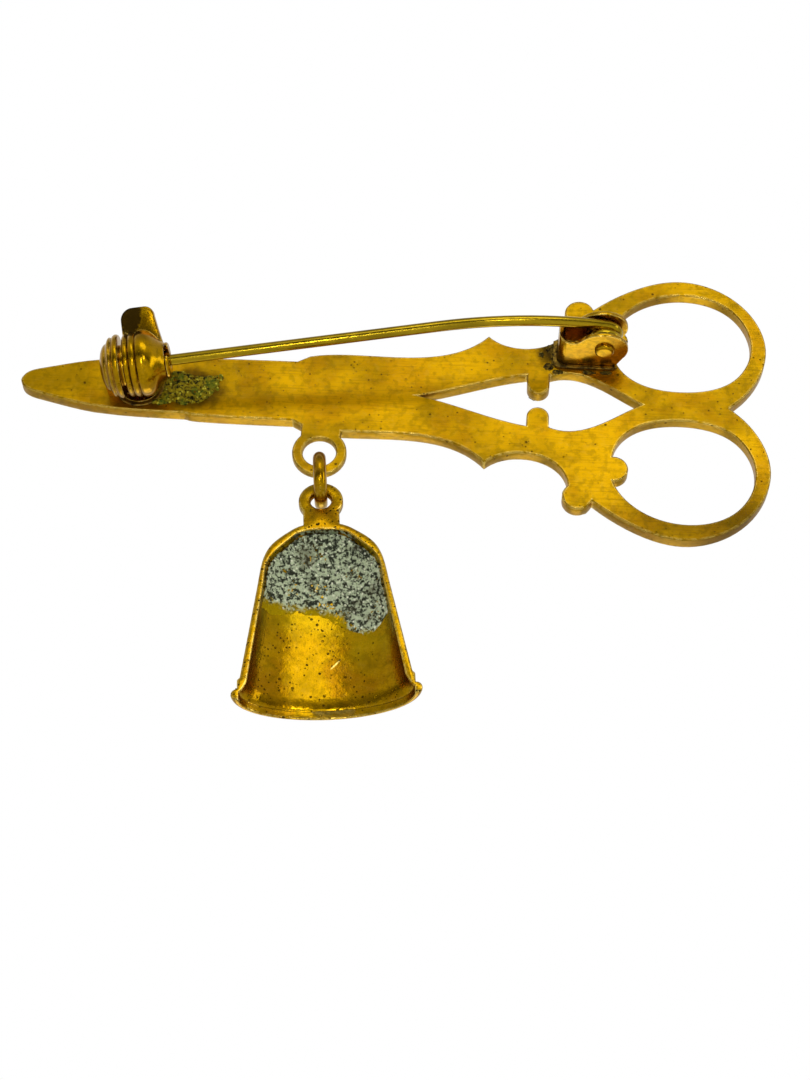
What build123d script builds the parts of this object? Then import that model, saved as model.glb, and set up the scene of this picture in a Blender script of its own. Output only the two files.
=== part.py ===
"""A scissors brooch with a thimble charm: a cast plate with a safety catch, a hinged pin and a hanging charm.

The plate stands in the XZ plane with its flat back facing -Y, the blades pointing to -X and +Z up.
Heights are measured away from the plate's flat back, so a height of h lies at Y = -h.
"""
from build123d import *
from math import atan2, cos, degrees, hypot, radians, sin, tan
import os

# ---- cast plate: a pair of closed scissors ----
PLATE_THICK = 1.2
BLADE_LENGTH = 23.0
BLADE_ROOT_X = -9.9
BLADE_ROOT_HALF = 2.98
SHANK_HALF = 3.55
BOW_START_X = 15.0
BOW_LENGTH = 14.5
BOW_TOP_Z = 13.0
BOW_BAND = 1.5
NUB_R = 1.25
EYE_NUB_R = 0.93
EDGE_ROUND = 0.25
ON_EDGE = 1e-4
GROOVE_WIDTH = 0.5
GROOVE_DEPTH = 0.3
SCREW_X = -4.4
SCREW_R = 2.1
SCREW_RISE = 0.45
SCREW_SLOT = 0.5

# ---- hanging loop under the blades' root ----
LOOP_X = -7.45
LOOP_Z = -6.0
LOOP_R = 2.24
LOOP_HOLE_R = 1.38
LOOP_THICK = 0.7
LOOP_NECK = 3.3

# ---- pin wire and its coil ----
WIRE_R = 0.45
COIL_R = 1.1
COIL_BITE = 0.01
TAKE_OFF_DEG = 16.5
ARCH_ALONG = 7.3
ARCH_R = 36.0
TAPER_START = 3.0
TAPER_LENGTH = 2.0
TAPER_R = 0.39
POINT_R = 0.06

# ---- joint: a folded stirrup with a rivet ----
RIVET_X = 15.7
RIVET_HEIGHT = 2.4
RIVET_CLEARANCE = 0.055
RIVET_HOLE_GAP = 0.02
RIVET_HEAD_R = 0.82
RIVET_HEAD_RISE = 0.34
JOINT_Z = 4.93
JOINT_WALL = 0.35
JOINT_SIDE_GAP = 0.03
JOINT_BACK_X = 11.9
JOINT_CORNER_R = 0.6
JOINT_BACK_RISE = 1.35
JOINT_DIP_RISE = 0.65
EAR_R = 1.95
SOLDER_REACH = 0.35
SOLDER_RISE = 0.22

# ---- safety catch: a fixed half and a turning half round a slotted hub ----
CATCH_X = -22.85
CATCH_Z = -0.28
BALL_R = 2.74
BALL_GAP = 0.16
CATCH_SLIT = -1.15
ROTOR_START = -0.8
ROTOR_END = 2.5
SHELL_END = -2.9
HUB_R = 1.18
HUB_BORE_GAP = 0.155
HUB_CLEARANCE = 0.06
HUB_DEPTH = 0.55
HUB_END_GAP = 0.05
HUB_FLANGE_R = 1.75
HUB_LIP_R = 1.5
HUB_LIP = 0.28
PIN_OVERRUN = 0.5
SLOT_GAP = 0.1
LOCKED_DEG = 105.0
TAB_DEG = 62.0
TAB_THICK = 1.0
TAB_RISE = 1.9
TAB_ROUND = 0.2
FOOT_R = 1.7
FOOT_THICK = 0.25
POST_WIDTH = 1.6

# ---- jump ring and thimble charm ----
RING_WIRE_R = 0.525
RING_INSIDE_R = 1.35
RING_SPLIT = 0.08
REST_GAP = 0.03
EYE_REST_GAP = 0.1
EYE_SLACK = 0.335
EYE_BAND = 0.94
EYE_THICK = 0.65
HANG_DEG = 5.6
THIMBLE_TILT = 6.3
THIMBLE_DROP = 18.4
THIMBLE_MOUTH_R = 6.75
THIMBLE_DEPTH = 3.6
THIMBLE_WALL = 0.6
MOUTH_FLARE = 0.55
BEAD_R = 0.5

# ---- places worked out from the sizes above ----
BLADE_TIP_X = BLADE_ROOT_X - BLADE_LENGTH
COIL_PITCH = 2 * WIRE_R - COIL_BITE
CATCH_HEIGHT = BALL_R + BALL_GAP + FOOT_THICK
HUB_BORE_R = WIRE_R + HUB_BORE_GAP
TAB_R = BALL_R + TAB_RISE
RING_R = RING_INSIDE_R + RING_WIRE_R
EYE_HOLE_R = RING_WIRE_R + EYE_SLACK
EYE_R = EYE_HOLE_R + EYE_BAND
JOINT_INSIDE = COIL_PITCH + 2 * WIRE_R + 2 * JOINT_SIDE_GAP
JOINT_WIDTH = JOINT_INSIDE + 2 * JOINT_WALL
COIL_Z = JOINT_Z + COIL_PITCH / 2
RIVET_R = COIL_R - WIRE_R - RIVET_CLEARANCE
CATCH = Vector(CATCH_X, -CATCH_HEIGHT, CATCH_Z)
COIL_CENTRE = Vector(RIVET_X, -RIVET_HEIGHT, COIL_Z)
PLAN_RUN = hypot(RIVET_X - CATCH_X, COIL_Z - CATCH_Z)
PLAN_DEG = degrees(atan2(COIL_Z - CATCH_Z, RIVET_X - CATCH_X))

# the wire leaves the coil rising, arches, and drops in a straight run through the catch's centre
TAKE_OFF = (-COIL_R * sin(radians(TAKE_OFF_DEG)), COIL_R * cos(radians(TAKE_OFF_DEG)))
ARCH = (ARCH_ALONG, TAKE_OFF[1] + (ARCH_ALONG - TAKE_OFF[0]) * tan(radians(TAKE_OFF_DEG)))
FALL_DEG = degrees(atan2(ARCH[1] - (CATCH_HEIGHT - RIVET_HEIGHT), PLAN_RUN - ARCH_ALONG))

# the stem's own plane: u runs from the coil towards the catch, v is the height above the rivet
STEM_PLANE = Plane(
    origin=COIL_CENTRE,
    x_dir=(-cos(radians(PLAN_DEG)), 0, -sin(radians(PLAN_DEG))),
    z_dir=(-sin(radians(PLAN_DEG)), 0, cos(radians(PLAN_DEG))),
)
STEM_AXIS = Vector(
    cos(radians(FALL_DEG)) * cos(radians(PLAN_DEG)),
    -sin(radians(FALL_DEG)),
    cos(radians(FALL_DEG)) * sin(radians(PLAN_DEG)),
)
AWAY = (Vector(0, -1, 0) - STEM_AXIS * STEM_AXIS.dot(Vector(0, -1, 0))).normalized()
# the catch's own frame: Z along the pin towards the joint, X away from the plate
CATCH_PLANE = Plane(origin=CATCH, x_dir=AWAY, z_dir=STEM_AXIS)

RING_DROP = RING_INSIDE_R ** 2 - (LOOP_THICK / 2) ** 2
RING_CENTRE = Vector(LOOP_X, LOOP_THICK / 2, LOOP_Z - LOOP_HOLE_R - RING_DROP ** 0.5 + REST_GAP)
EYE_PIVOT = RING_CENTRE - Vector(0, 0, RING_R)
# the ring and the charm hang from the loop, leaning towards the heavier bows
HANG_AXIS = Axis((LOOP_X, LOOP_THICK / 2, LOOP_Z), (0, 1, 0))

# the frame's origin: the middle of the pin's straight run, where cloth hangs on it
STRAIGHT_END = (PLAN_RUN - ARCH_ALONG) / cos(radians(FALL_DEG)) - ARCH_R * tan(
    radians(TAKE_OFF_DEG + FALL_DEG) / 2
)
ORIGIN = CATCH + STEM_AXIS * (TAPER_START + STRAIGHT_END) / 2


def bow_point(along, up):
    """A point of the upper bow, as shares of the bow's length and of its height."""
    return BOW_START_X + along * BOW_LENGTH, up * BOW_TOP_Z


def half_outline():
    """Upper half of the scissors' outer edge, from the blade tip to where the bows meet."""
    blade = Spline(
        (BLADE_TIP_X, 0),
        (BLADE_TIP_X + 0.08 * BLADE_LENGTH, 0.44 * BLADE_ROOT_HALF),
        (BLADE_TIP_X + 0.28 * BLADE_LENGTH, 0.79 * BLADE_ROOT_HALF),
        (BLADE_TIP_X + 0.6 * BLADE_LENGTH, 0.9 * BLADE_ROOT_HALF),
        (BLADE_ROOT_X, BLADE_ROOT_HALF),
        tangents=[(0.2, 1), (1, 0)],
    )
    step = Line((BLADE_ROOT_X, BLADE_ROOT_HALF), (BLADE_ROOT_X + 1, SHANK_HALF))
    shank = Spline(
        (BLADE_ROOT_X + 1, SHANK_HALF),
        (-0.9, SHANK_HALF + 0.3),
        (3.6, SHANK_HALF + 1.1),
        (6.1, SHANK_HALF + 2.85),
    )
    thorn = Spline((6.1, SHANK_HALF + 2.85), (9.2, SHANK_HALF + 1.7), (12.0, 6.3), bow_point(-0.14, 0.64))
    root = Line(bow_point(-0.14, 0.64), bow_point(-0.02, 0.725))
    bow = Spline(
        bow_point(-0.02, 0.725),
        bow_point(0.23, 0.915),
        bow_point(0.51, 1),
        bow_point(0.83, 0.86),
        bow_point(1, 0.477),
        bow_point(0.91, 0.16),
        bow_point(0.77, 0),
    )
    return Curve() + [blade, step, shank, thorn, root, bow]


def bow_hole():
    """Finger hole of the upper bow: the bow's outer edge drawn in by the band's width."""
    left = bow_point(0.105, 0)[0]
    right = bow_point(1, 0)[0] - 0.85 * BOW_BAND
    top = BOW_TOP_Z - BOW_BAND
    edge = Spline(
        (left, 0.42 * BOW_TOP_Z),
        bow_point(0.21, 0.203),
        bow_point(0.51, 0.111),
        bow_point(0.81, 0.222),
        (right, 0.485 * BOW_TOP_Z),
        bow_point(0.785, 0.79),
        bow_point(0.5, top / BOW_TOP_Z),
        bow_point(0.235, 0.775),
        (left, 0.572 * BOW_TOP_Z),
    )
    return make_face(Curve() + [edge, Line((left, 0.572 * BOW_TOP_Z), (left, 0.42 * BOW_TOP_Z))])


def eye_between_shanks():
    """Pointed opening between the shanks, upper half."""
    front = Spline((0.4, 0), (3.5, 0.86), (6.8, 1.94), (9.5, 2.58))
    middle = Line((9.5, 2.58), (11.25, 2.58))
    rear = Spline((11.25, 2.58), (13.2, 2.9), (15.9, 1.9), (19.0, 0))
    return make_face(Curve() + [front, middle, rear, Line((19.0, 0), (0.4, 0))])


def plate_sketch():
    """Whole scissors outline with the bows' holes, the eye and the knuckle nubs."""
    edge = half_outline()
    half = make_face(Curve() + [edge, Line(bow_point(0.77, 0), (BLADE_TIP_X, 0))])
    half += Pos(*bow_point(-0.087, 0.708)) * Circle(NUB_R)
    half -= bow_hole()
    half += Pos(*bow_point(0.115, 0.496)) * Circle(0.95 * NUB_R)
    half -= eye_between_shanks()
    half += Pos(10.38, 1.6) * Circle(EYE_NUB_R)
    half += Pos(10.38, 2.35) * Rectangle(2 * EYE_NUB_R, 1.5)
    return half + mirror(half, about=Plane.XZ)


def to_front(shape, thickness):
    """Stand a flat XY sketch up in the XZ plane and thicken it from the flat back towards the front."""
    return extrude(Rot(90, 0, 0) * shape, amount=thickness, dir=(0, 1, 0))


def on_wire(edge, wire):
    """Whether an edge lies on a wire, judged at its middle."""
    return wire.distance_to(Vertex(*(edge @ 0.5))) < ON_EDGE


def scissors_plate():
    """Cast plate: outline, softened finger holes, blade groove, screw head and hanging loop."""
    plate = to_front(plate_sketch(), PLATE_THICK)
    front = plate.faces().sort_by(Axis.Y)[-1]
    for hole in front.inner_wires().sort_by(Axis.X)[-2:]:
        plate = fillet(plate.edges().filter_by(lambda edge: on_wire(edge, hole)), EDGE_ROUND)

    groove_length = SCREW_X - BLADE_TIP_X
    groove = Rot(45, 0, 0) * Box(groove_length, GROOVE_WIDTH, GROOVE_WIDTH)
    groove_y = PLATE_THICK + GROOVE_WIDTH * 0.5 ** 0.5 - GROOVE_DEPTH
    plate -= Pos(BLADE_TIP_X + groove_length / 2 - NUB_R, groove_y, 0) * groove

    head = Cylinder(SCREW_R, PLATE_THICK / 2 + SCREW_RISE, align=(Align.CENTER, Align.CENTER, Align.MIN))
    head = fillet(head.edges().sort_by(Axis.Z)[-1], EDGE_ROUND)
    head -= Pos(0, 0, PLATE_THICK / 2 + SCREW_RISE) * Box(3 * SCREW_R, SCREW_SLOT, 2 * GROOVE_DEPTH)
    plate += Pos(SCREW_X, PLATE_THICK / 2, 0) * Rot(-90, 0, 0) * Rot(0, 0, 30) * head

    neck_top = -BLADE_ROOT_HALF + 0.3
    neck = Pos(LOOP_X, (neck_top + LOOP_Z) / 2) * Rectangle(LOOP_NECK, neck_top - LOOP_Z)
    loop = Pos(LOOP_X, LOOP_Z) * Circle(LOOP_R) + neck - Pos(LOOP_X, LOOP_Z) * Circle(LOOP_HOLE_R)
    return plate + to_front(loop, LOOP_THICK)


def joint_plan(reach=0.0):
    """Footprint of the joint, seen from the back: open towards the bows, rounded at its closed end."""
    length = RIVET_X + EAR_R + 1 - JOINT_BACK_X + reach
    plan = Rectangle(length, JOINT_WIDTH + 2 * reach)
    plan = fillet(plan.vertices().group_by(Axis.X)[0], JOINT_CORNER_R)
    return Pos(JOINT_BACK_X - reach + length / 2, JOINT_Z) * plan


def ear_profile():
    """Side view of the joint: a foot, a rounded ear round the rivet and a dip before the end wall."""
    foot_x = RIVET_X + 0.5 * EAR_R
    top = (RIVET_X, -(RIVET_HEIGHT + EAR_R))
    lean = radians(35)
    low = (RIVET_X + EAR_R * cos(lean), -(RIVET_HEIGHT - EAR_R * sin(lean)))
    ear = ThreePointArc(low, (RIVET_X + EAR_R * cos(lean), -(RIVET_HEIGHT + EAR_R * sin(lean))), top)
    back = (JOINT_BACK_X, -(RIVET_HEIGHT + JOINT_BACK_RISE))
    crest = Spline(
        top,
        (JOINT_BACK_X + 1.2, -(RIVET_HEIGHT + JOINT_DIP_RISE)),
        back,
        tangents=[(-1, 0), (-1, -1.2)],
    )
    rest = Polyline(back, (JOINT_BACK_X, 0), (foot_x, 0), low)
    return make_face(Curve() + [ear, crest, rest])


def joint_box():
    """Folded stirrup: floor, end wall and two ears, drilled for the rivet."""
    block = extrude(Rot(90, 0, 0) * joint_plan(), amount=2 * EAR_R + RIVET_HEIGHT, dir=(0, -1, 0))
    inside_length = RIVET_X + 2 * EAR_R - JOINT_BACK_X
    inside = Rectangle(inside_length, JOINT_INSIDE)
    inside = fillet(inside.vertices().group_by(Axis.X)[0], JOINT_CORNER_R - JOINT_WALL)
    inside = Pos(JOINT_BACK_X + JOINT_WALL + inside_length / 2, JOINT_Z) * inside
    hollow = extrude(Rot(90, 0, 0) * inside, amount=3 * EAR_R + RIVET_HEIGHT, dir=(0, -1, 0))
    block -= Pos(0, -JOINT_WALL, 0) * hollow
    sides = extrude(ear_profile(), amount=JOINT_WIDTH / 2, both=True)
    block &= Pos(0, 0, JOINT_Z) * sides
    hole = Cylinder(RIVET_R + RIVET_HOLE_GAP, 2 * JOINT_WIDTH)
    return block - Pos(RIVET_X, -RIVET_HEIGHT, JOINT_Z) * hole


def joint_rivet():
    """Rivet through both ears, with a domed head outside each."""
    rivet = Cylinder(RIVET_R, JOINT_WIDTH)
    head = Cylinder(RIVET_HEAD_R, RIVET_HEAD_RISE, align=(Align.CENTER, Align.CENTER, Align.MIN))
    head = fillet(head.edges().sort_by(Axis.Z)[-1], 0.8 * RIVET_HEAD_RISE)
    rivet += Pos(0, 0, JOINT_WIDTH / 2) * head
    rivet += Pos(0, 0, -JOINT_WIDTH / 2) * Rot(180, 0, 0) * head
    return Pos(RIVET_X, -RIVET_HEIGHT, JOINT_Z) * rivet


def pin_stem():
    """Spring wire: two turns round the rivet, an arch, a straight run and a sharp point."""
    end_u = PLAN_RUN - TAPER_START * cos(radians(FALL_DEG))
    end_v = CATCH_HEIGHT - RIVET_HEIGHT + TAPER_START * sin(radians(FALL_DEG))
    route = FilletPolyline(TAKE_OFF, ARCH, (end_u, end_v), radius=ARCH_R)
    route = STEM_PLANE * route
    begin = Vector(*STEM_PLANE.from_local_coords(TAKE_OFF))
    heading = (STEM_PLANE.x_dir * cos(radians(TAKE_OFF_DEG))
               + STEM_PLANE.y_dir * sin(radians(TAKE_OFF_DEG)))
    stem = sweep(Plane(origin=begin, z_dir=heading) * Circle(WIRE_R), path=route)
    for turn in range(2):
        centre = COIL_CENTRE - Vector(0, 0, turn * COIL_PITCH)
        stem += Pos(*centre) * Torus(COIL_R, WIRE_R)
    low = (Align.CENTER, Align.CENTER, Align.MIN)
    point_length = TAPER_START - TAPER_LENGTH + PIN_OVERRUN
    point = Cone(WIRE_R, TAPER_R, TAPER_LENGTH, align=low)
    point += Pos(0, 0, TAPER_LENGTH) * Cone(TAPER_R, POINT_R, point_length, align=low)
    return stem + Plane(origin=CATCH + STEM_AXIS * TAPER_START, z_dir=-STEM_AXIS) * point


def ridge(start, end, radius_start, radius_end, crown):
    """One rounded ridge of a turned outline, from one axial place to the next."""
    middle = ((start + end) / 2, max(radius_start, radius_end) + crown)
    return ThreePointArc((start, radius_start), middle, (end, radius_end))


def turned(edges, start, end):
    """Solid of revolution about the catch's axis; edges are (axial place, share of the ball's radius)."""
    first = Line((start, 0), edges[0] @ 0)
    last = Line(edges[-1] @ 1, (end, 0))
    face = make_face(Curve() + [first, *edges, last, Line((end, 0), (start, 0))])
    face = scale(face, by=(1, BALL_R, 1))
    # the outline's axial direction is X: turn it round X, then stand that axis up along Z
    return Rot(0, -90, 0) * revolve(face, axis=Axis.X)


def catch_shell():
    """Fixed half of the ball: two stepped ridges and a closed end, bored for the hub."""
    edges = [
        ThreePointArc((SHELL_END, 0.24), (-2.72, 0.52), (-2.25, 0.72)),
        Line((-2.25, 0.72), (-2.15, 0.77)),
        ridge(-2.15, -1.75, 0.77, 0.86, 0.03),
        Line((-1.75, 0.86), (-1.7, 0.88)),
        ridge(-1.7, CATCH_SLIT, 0.88, 0.93, 0.035),
    ]
    shell = turned(edges, SHELL_END, CATCH_SLIT)
    seat = Cylinder(HUB_R, HUB_DEPTH, align=(Align.CENTER, Align.CENTER, Align.MAX))
    return CATCH_PLANE * (shell - Pos(0, 0, CATCH_SLIT) * seat)


def catch_hub():
    """Slotted tube pressed into the fixed half; its flange and flared lip keep the turning half on."""
    start = CATCH_SLIT - HUB_DEPTH
    end = ROTOR_END + HUB_END_GAP + HUB_LIP
    low = (Align.CENTER, Align.CENTER, Align.MIN)
    hub = Pos(0, 0, start) * Cylinder(HUB_R, end - start, align=low)
    flange = ROTOR_START - HUB_END_GAP - CATCH_SLIT
    hub += Pos(0, 0, CATCH_SLIT) * Cylinder(HUB_FLANGE_R, flange, align=low)
    lip = Cylinder(HUB_LIP_R, HUB_LIP, align=low)
    hub += Pos(0, 0, end - HUB_LIP) * fillet(lip.edges().sort_by(Axis.Z)[-1], 0.6 * HUB_LIP)
    bore_start = -PIN_OVERRUN - 2 * SLOT_GAP
    hub -= Pos(0, 0, bore_start) * Cylinder(HUB_BORE_R, 2 * end, align=low)
    slot = Box(2 * HUB_FLANGE_R, 2 * (WIRE_R + SLOT_GAP), 2 * end, align=(Align.MIN, Align.CENTER, Align.MIN))
    return CATCH_PLANE * (hub - Pos(0, 0, bore_start) * slot)


def catch_rotor():
    """Turning half of the ball: two ridges, a groove, a dome and the thumb tab, slotted for the pin."""
    edges = [
        ridge(ROTOR_START, -0.35, 0.89, 0.91, 0.035),
        Line((-0.35, 0.91), (-0.3, 0.87)),
        Line((-0.3, 0.87), (-0.25, 0.94)),
        ridge(-0.25, 0.22, 0.94, 0.95, 0.03),
        Line((0.22, 0.95), (0.3, 0.9)),
        Line((0.3, 0.9), (0.36, 0.97)),
        Spline((0.36, 0.97), (0.75, 1), (1.55, 0.88), (2.2, 0.64), (ROTOR_END, 0.55)),
    ]
    rotor = turned(edges, ROTOR_START, ROTOR_END)

    # the thumb tab stands out of the ball in a plane through the axis
    root = HUB_R + HUB_CLEARANCE / 2
    side = make_face(Curve() + [
        Polyline((ROTOR_END, root), (ROTOR_START, root), (ROTOR_START, TAB_R - 1.0)),
        ThreePointArc((ROTOR_START, TAB_R - 1.0), (ROTOR_START + 0.3, TAB_R - 0.3), (0.25, TAB_R)),
        Line((0.25, TAB_R), (1.2, TAB_R)),
        ThreePointArc((1.2, TAB_R), (1.75, TAB_R - 0.22), (1.98, TAB_R - 0.8)),
        Spline((1.98, TAB_R - 0.8), (2.2, TAB_R - 2.05), (ROTOR_END, root)),
    ])
    tab = extrude(side, amount=TAB_THICK / 2, both=True)
    tab = fillet(tab.faces().sort_by(Axis.Z)[0].edges(), TAB_ROUND)
    tab = fillet(tab.faces().sort_by(Axis.Z)[-1].edges(), TAB_ROUND)
    turn = radians(TAB_DEG)
    rotor += Plane(origin=(0, 0, 0), x_dir=(0, 0, 1), z_dir=(sin(turn), cos(turn), 0)) * tab

    rotor -= Cylinder(HUB_R + HUB_CLEARANCE, 4 * TAB_R)
    slot = Box(TAB_R, 2 * (WIRE_R + SLOT_GAP), 2 * TAB_R, align=(Align.MIN, Align.CENTER, Align.CENTER))
    return CATCH_PLANE * (rotor - Rot(0, 0, -LOCKED_DEG) * slot)


def catch_foot():
    """Round foot soldered to the plate, with a post that carries the ball's fixed half."""
    foot = Pos(CATCH_X, 0, CATCH_Z) * Rot(90, 0, 0) * Cylinder(
        FOOT_R, FOOT_THICK, align=(Align.CENTER, Align.CENTER, Align.MIN)
    )
    length = CATCH_SLIT - SHELL_END - 2 * HUB_END_GAP
    post = Box(CATCH_HEIGHT, POST_WIDTH, length, align=(Align.MAX, Align.CENTER, Align.MAX))
    post = CATCH_PLANE * Pos(0, 0, CATCH_SLIT - HUB_END_GAP) * post
    above = Pos(CATCH_X, 0, CATCH_Z) * Box(4 * FOOT_R, CATCH_HEIGHT, 4 * FOOT_R,
                                           align=(Align.CENTER, Align.MAX, Align.CENTER))
    envelope = CATCH_PLANE * Pos(0, 0, CATCH_SLIT) * Cylinder(
        HUB_R, HUB_DEPTH, align=(Align.CENTER, Align.CENTER, Align.MAX)
    )
    return foot + (post & above) - catch_shell() - envelope


def solder(base, plan, height):
    """Thin skin of solder that crept out round a foot, kept on the plate."""
    pad = extrude(Rot(90, 0, 0) * plan, amount=height, dir=(0, -1, 0))
    on_plate = extrude(Rot(90, 0, 0) * plate_sketch(), amount=height, dir=(0, -1, 0))
    return (pad & on_plate) - base


def joint_solder():
    """Solder round the joint's foot."""
    length = RIVET_X + 0.5 * EAR_R + SOLDER_REACH - JOINT_BACK_X + SOLDER_REACH
    plan = Rectangle(length, JOINT_WIDTH + 2 * SOLDER_REACH)
    plan = fillet(plan.vertices(), JOINT_CORNER_R)
    plan = Pos(JOINT_BACK_X - SOLDER_REACH + length / 2, JOINT_Z) * plan
    foot = extrude(Rot(90, 0, 0) * joint_plan(), amount=2 * SOLDER_RISE, dir=(0, -1, 0))
    return solder(foot, plan, SOLDER_RISE)


def catch_solder():
    """Solder round the catch's foot."""
    plan = Pos(CATCH_X, CATCH_Z) * Circle(FOOT_R + SOLDER_REACH)
    return solder(catch_foot(), plan, 0.8 * FOOT_THICK)


def jump_ring():
    """Round wire ring with its split half way up one side, hanging in the plate's loop."""
    ring = Rot(0, 90, 0) * Torus(RING_R, RING_WIRE_R)
    gap = Pos(0, RING_R, 0) * Box(3 * RING_WIRE_R, 3 * RING_WIRE_R, RING_SPLIT)
    return (Pos(*RING_CENTRE) * (ring - gap)).rotate(HANG_AXIS, -HANG_DEG)


def thimble_half(shrink, depth, bead):
    """Half of a thimble-shaped body, flattened front to back, its axis down -Z below the eye."""
    mouth = THIMBLE_MOUTH_R - shrink
    skirt = (mouth - 0.15, 1.5 - THIMBLE_DROP)
    shoulder = (0.77 * mouth, -8.3)
    side = Line(skirt, shoulder)
    dome = Spline(
        shoulder,
        (0.71 * mouth, -5.9),
        (0.6 * mouth, -4.3 - shrink),
        (0.4 * mouth, -3.1 - shrink),
        (0, -2.35 - shrink),
        tangents=[side % 1, (-1, 0)],
    )
    if bead:
        # a flat band turned out into a rolled edge
        band = mouth + 0.05
        end = -THIMBLE_DROP - BEAD_R
        foot = [
            Polyline(skirt, (band, skirt[1] - 0.2), (band, end + 2 * BEAD_R)),
            ThreePointArc((band, end + 2 * BEAD_R), (band + BEAD_R, end + BEAD_R), (band, end)),
            Line((band, end), (0, end)),
        ]
        half_width = band + BEAD_R
    else:
        # inside, the wall flares out into the bead
        end = -THIMBLE_DROP - 2 * BEAD_R
        lip = (mouth + MOUTH_FLARE, -THIMBLE_DROP + 0.35 * BEAD_R)
        foot = [
            Spline(skirt, (mouth + 0.2 * MOUTH_FLARE, lip[1] + BEAD_R), lip, tangents=[(0, -1), (1, -0.5)]),
            Polyline(lip, (lip[0], end), (0, end)),
        ]
        half_width = mouth
    face = make_face(Curve() + [dome, side, *foot, Line((0, end), (0, -2.35 - shrink))])
    body = revolve(Rot(90, 0, 0) * face, axis=Axis.Z, revolution_arc=180)
    if body.center().Y < 0:
        body = mirror(body, about=Plane.XZ)
    return scale(body, by=(1, depth / half_width, 1))


def thimble_shell():
    """Half-round hollow thimble, open at its back and mouth, with an eye above its crown."""
    outer = thimble_half(0, THIMBLE_DEPTH, True)
    inner = thimble_half(THIMBLE_WALL, THIMBLE_DEPTH - THIMBLE_WALL, False)
    shell = outer - Pos(0, -0.01, 0) * inner
    neck = Pos(0, -1.45) * Rectangle(1.62 * EYE_R, 2.9)
    eye = Circle(EYE_R) + neck - Circle(EYE_HOLE_R)
    shell += to_front(eye, EYE_THICK)
    # the eye's rim rests on the ring's wire, and the whole charm leans until it balances
    drop = EYE_HOLE_R - RING_WIRE_R - EYE_REST_GAP
    shell = Pos(0, -EYE_THICK / 2, -drop) * shell
    return (Pos(*EYE_PIVOT) * Rot(-THIMBLE_TILT, 0, 0) * shell).rotate(HANG_AXIS, -HANG_DEG)


NODES = {
    "scissors_plate": scissors_plate,
    "joint_box": joint_box,
    "joint_rivet": joint_rivet,
    "joint_solder": joint_solder,
    "pin_stem": pin_stem,
    "catch_foot": catch_foot,
    "catch_solder": catch_solder,
    "catch_shell": catch_shell,
    "catch_hub": catch_hub,
    "catch_rotor": catch_rotor,
    "jump_ring": jump_ring,
    "thimble_shell": thimble_shell,
}

os.makedirs("parts", exist_ok=True)
for name, build in NODES.items():
    export_step(Pos(*(-ORIGIN)) * build(), f"parts/{name}.step")
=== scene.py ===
import bpy
import math
from mathutils import Matrix, Vector, noise


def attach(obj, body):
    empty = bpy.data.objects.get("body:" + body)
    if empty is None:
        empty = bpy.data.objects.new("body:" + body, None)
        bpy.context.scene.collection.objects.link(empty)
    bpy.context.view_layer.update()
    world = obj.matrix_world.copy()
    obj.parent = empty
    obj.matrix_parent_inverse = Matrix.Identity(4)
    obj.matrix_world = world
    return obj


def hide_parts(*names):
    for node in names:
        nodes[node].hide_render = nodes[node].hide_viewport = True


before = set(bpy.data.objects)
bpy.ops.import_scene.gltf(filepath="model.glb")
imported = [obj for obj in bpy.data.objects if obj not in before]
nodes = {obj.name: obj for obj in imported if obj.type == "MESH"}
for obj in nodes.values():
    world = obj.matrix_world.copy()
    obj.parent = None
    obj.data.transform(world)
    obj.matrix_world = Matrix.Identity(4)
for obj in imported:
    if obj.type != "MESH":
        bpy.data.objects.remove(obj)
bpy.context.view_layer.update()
MM = 0.001
MM_PER_M = 1000.0

# ---- the cast plate: a pair of closed scissors in gilt base metal ----
# Cast flat at the back, its rim filed round by hand and the back linished along its length,
# so it carries fine straight scratches and a thin yellow plating that has dulled in places.
PLATE_EDGE = 0.12 * MM
PLATE_BACK = 4.28
FLAT_FACE = 0.04 * MM * MM
SAME_AREA = 0.005 * MM * MM
GOLD = (0.53, 0.285, 0.0006)
# pale gold: for lighter drifts in the plating, and for the painted highlight along rounded edges
GOLD_PALE_AND_SHEEN = (0.95, 0.70, 0.16)
GOLD_OLIVE = (0.20, 0.122, 0.0006)
GOLD_BROWN = (0.37, 0.16, 0.0006)
# tarnish colour: for stains and pits, and also for painted shade in corners and on the plate's lower bow
TARNISH_AND_SHADE = (0.030, 0.016, 0.002)
SALT_HALO = (0.56, 0.40, 0.004)
SALT_GRAINS = (0.50, 0.56, 0.38)
PIT_DEPTH = 0.05
DIMPLE_DEPTH = 0.14
DIMPLE_ROWS = 0.87


def select_only(obj):
    bpy.ops.object.select_all(action="DESELECT")
    obj.select_set(True)
    bpy.context.view_layer.objects.active = obj


def copy_of(node, name):
    """A piece of its own made from a part, with its loose triangles joined up."""
    piece = bpy.data.objects.new(name, nodes[node].data.copy())
    bpy.context.scene.collection.objects.link(piece)
    piece.data.materials.clear()
    select_only(piece)
    bpy.ops.mesh.customdata_custom_splitnormals_clear()
    bpy.ops.object.mode_set(mode="EDIT")
    bpy.ops.mesh.select_all(action="SELECT")
    bpy.ops.mesh.remove_doubles(threshold=0.002 * MM)
    bpy.ops.mesh.dissolve_limited(angle_limit=math.radians(0.02))
    bpy.ops.object.mode_set(mode="OBJECT")
    return piece


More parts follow.
